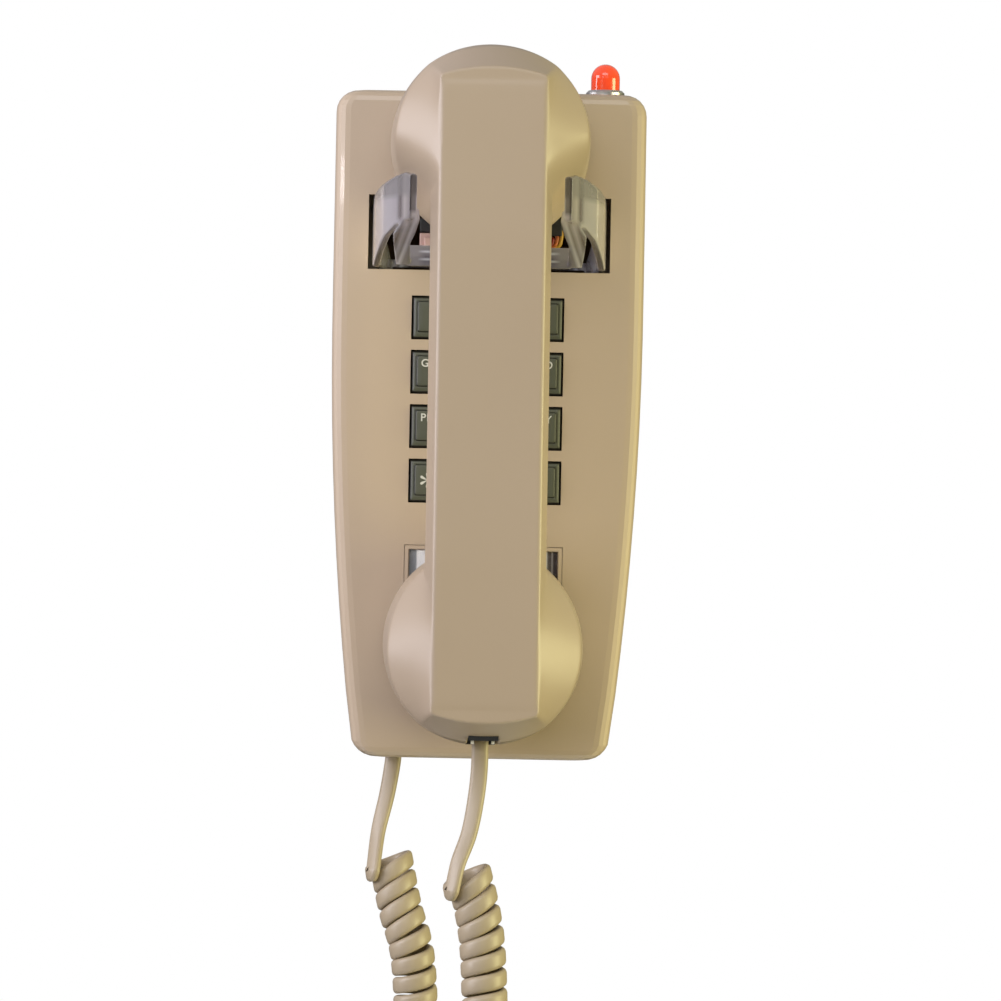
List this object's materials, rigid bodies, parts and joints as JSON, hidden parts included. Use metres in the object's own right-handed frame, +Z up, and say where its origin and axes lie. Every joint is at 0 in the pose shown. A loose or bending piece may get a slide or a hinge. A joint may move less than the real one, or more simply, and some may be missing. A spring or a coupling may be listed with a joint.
{
  "type": "slimline wall phone",
  "caption": "Corded wall telephone with push-button dial, hook cradle, message lamp, and a hung handset on a curly cord.",
  "frame": {"origin": "middle of the wall screw pattern, on the wall plane", "axes": "+Z up the wall, +Y into the wall, +X to the right seen from the front"},
  "size_m": [0.1012, 0.104, 0.4524],
  "materials": {
    "shell_plastic": "semi-gloss moulded ABS, beige",
    "base_plastic": "matte moulded back",
    "smoke_clear": "smoke clear moulded acrylic",
    "key_plastic": "satin dark grey-green keys",
    "dark_plastic": "black moulded plastic",
    "steel": "plated steel",
    "chrome": "bright plated",
    "brass": "plated brass gong",
    "copper_coil": "varnished winding",
    "board": "circuit board",
    "rubber_sheet": "silicone sheet",
    "card_paper": "white card",
    "clear": "clear plastic",
    "lens_red": "translucent red lens",
    "bulb_glass": "neon lamp glass",
    "switch_plastic": "phenolic switch body",
    "cord_plastic": "extruded PVC cord, beige"
  },
  "bodies": {
    "base": {"base_plate": "base_plastic", "housing": "shell_plastic", "cover_screw": "steel", "hook_bracket": "steel", "hook_pin": "steel", "hook_spring": "steel", "hook_switch": "switch_plastic", "dial_frame": "dark_plastic", "dial_screws": "steel", "dial_pad": "rubber_sheet", "dial_board": "board", "card_frame": "shell_plastic", "number_card": "card_paper", "card_window": "clear", "line_board": "board", "wall_plug": "clear", "ringer_frame": "steel", "ringer_coil": "copper_coil", "gong": "brass", "gong_screw": "steel", "lamp_bezel": "chrome", "lamp_lens": "lens_red", "lamp_bulb": "bulb_glass", "lamp_nut": "steel", "base_jack": "dark_plastic", "base_plug": "clear", "cord_base_lead": "cord_plastic", "cord_curl": "cord_plastic"},
    "hook": {"hook_cradle": "smoke_clear"},
    "plunger": {"switch_plunger": "clear"},
    "clapper": {"clapper": "brass"},
    "handset": {"handset_body": "shell_plastic", "receiver_cap": "shell_plastic", "receiver_unit": "dark_plastic", "transmitter_cap": "shell_plastic", "transmitter_unit": "dark_plastic", "handset_jack": "dark_plastic", "handset_plug": "clear", "cord_handset_lead": "cord_plastic"},
    "key_1": {"key_1": "key_plastic"},
    "key_2": {"key_2": "key_plastic"},
    "key_3": {"key_3": "key_plastic"},
    "key_4": {"key_4": "key_plastic"},
    "key_5": {"key_5": "key_plastic"},
    "key_6": {"key_6": "key_plastic"},
    "key_7": {"key_7": "key_plastic"},
    "key_8": {"key_8": "key_plastic"},
    "key_9": {"key_9": "key_plastic"},
    "key_star": {"key_star": "key_plastic"},
    "key_0": {"key_0": "key_plastic"},
    "key_pound": {"key_pound": "key_plastic"}
  },
  "joints": [
    {"name": "handset_lift", "type": "slide", "parent": "base", "child": "handset", "axis": [0, 0, 1], "range_m": [0, 0.03]},
    {"name": "hook_swing", "type": "hinge", "parent": "base", "child": "hook", "pos_m": [0, -0.015, 0.043], "axis": [-1, 0, 0], "range_deg": [0, 5.1]},
    {"name": "switch_push", "type": "slide", "parent": "base", "child": "plunger", "axis": [0, 0, 1], "range_m": [0, 0.0016]},
    {"name": "clapper_swing", "type": "hinge", "parent": "base", "child": "clapper", "pos_m": [0.0095, -0.018, -0.039], "axis": [0, 1, 0], "range_deg": [-3, 4]},
    {"name": "key_1_press", "type": "slide", "parent": "base", "child": "key_1", "axis": [0, 1, 0], "range_m": [0, 0.0015], "stiffness_N_per_m": 400},
    {"name": "key_2_press", "type": "slide", "parent": "base", "child": "key_2", "axis": [0, 1, 0], "range_m": [0, 0.0015], "stiffness_N_per_m": 400},
    {"name": "key_3_press", "type": "slide", "parent": "base", "child": "key_3", "axis": [0, 1, 0], "range_m": [0, 0.0015], "stiffness_N_per_m": 400},
    {"name": "key_4_press", "type": "slide", "parent": "base", "child": "key_4", "axis": [0, 1, 0], "range_m": [0, 0.0015], "stiffness_N_per_m": 400},
    {"name": "key_5_press", "type": "slide", "parent": "base", "child": "key_5", "axis": [0, 1, 0], "range_m": [0, 0.0015], "stiffness_N_per_m": 400},
    {"name": "key_6_press", "type": "slide", "parent": "base", "child": "key_6", "axis": [0, 1, 0], "range_m": [0, 0.0015], "stiffness_N_per_m": 400},
    {"name": "key_7_press", "type": "slide", "parent": "base", "child": "key_7", "axis": [0, 1, 0], "range_m": [0, 0.0015], "stiffness_N_per_m": 400},
    {"name": "key_8_press", "type": "slide", "parent": "base", "child": "key_8", "axis": [0, 1, 0], "range_m": [0, 0.0015], "stiffness_N_per_m": 400},
    {"name": "key_9_press", "type": "slide", "parent": "base", "child": "key_9", "axis": [0, 1, 0], "range_m": [0, 0.0015], "stiffness_N_per_m": 400},
    {"name": "key_star_press", "type": "slide", "parent": "base", "child": "key_star", "axis": [0, 1, 0], "range_m": [0, 0.0015], "stiffness_N_per_m": 400},
    {"name": "key_0_press", "type": "slide", "parent": "base", "child": "key_0", "axis": [0, 1, 0], "range_m": [0, 0.0015], "stiffness_N_per_m": 400},
    {"name": "key_pound_press", "type": "slide", "parent": "base", "child": "key_pound", "axis": [0, 1, 0], "range_m": [0, 0.0015], "stiffness_N_per_m": 400}
  ],
  "couplings": [
    {"joint": "hook_swing", "follows": "handset_lift", "rad_per_m": 2.9089},
    {"joint": "switch_push", "follows": "handset_lift", "ratio": 0.05}
  ]
}
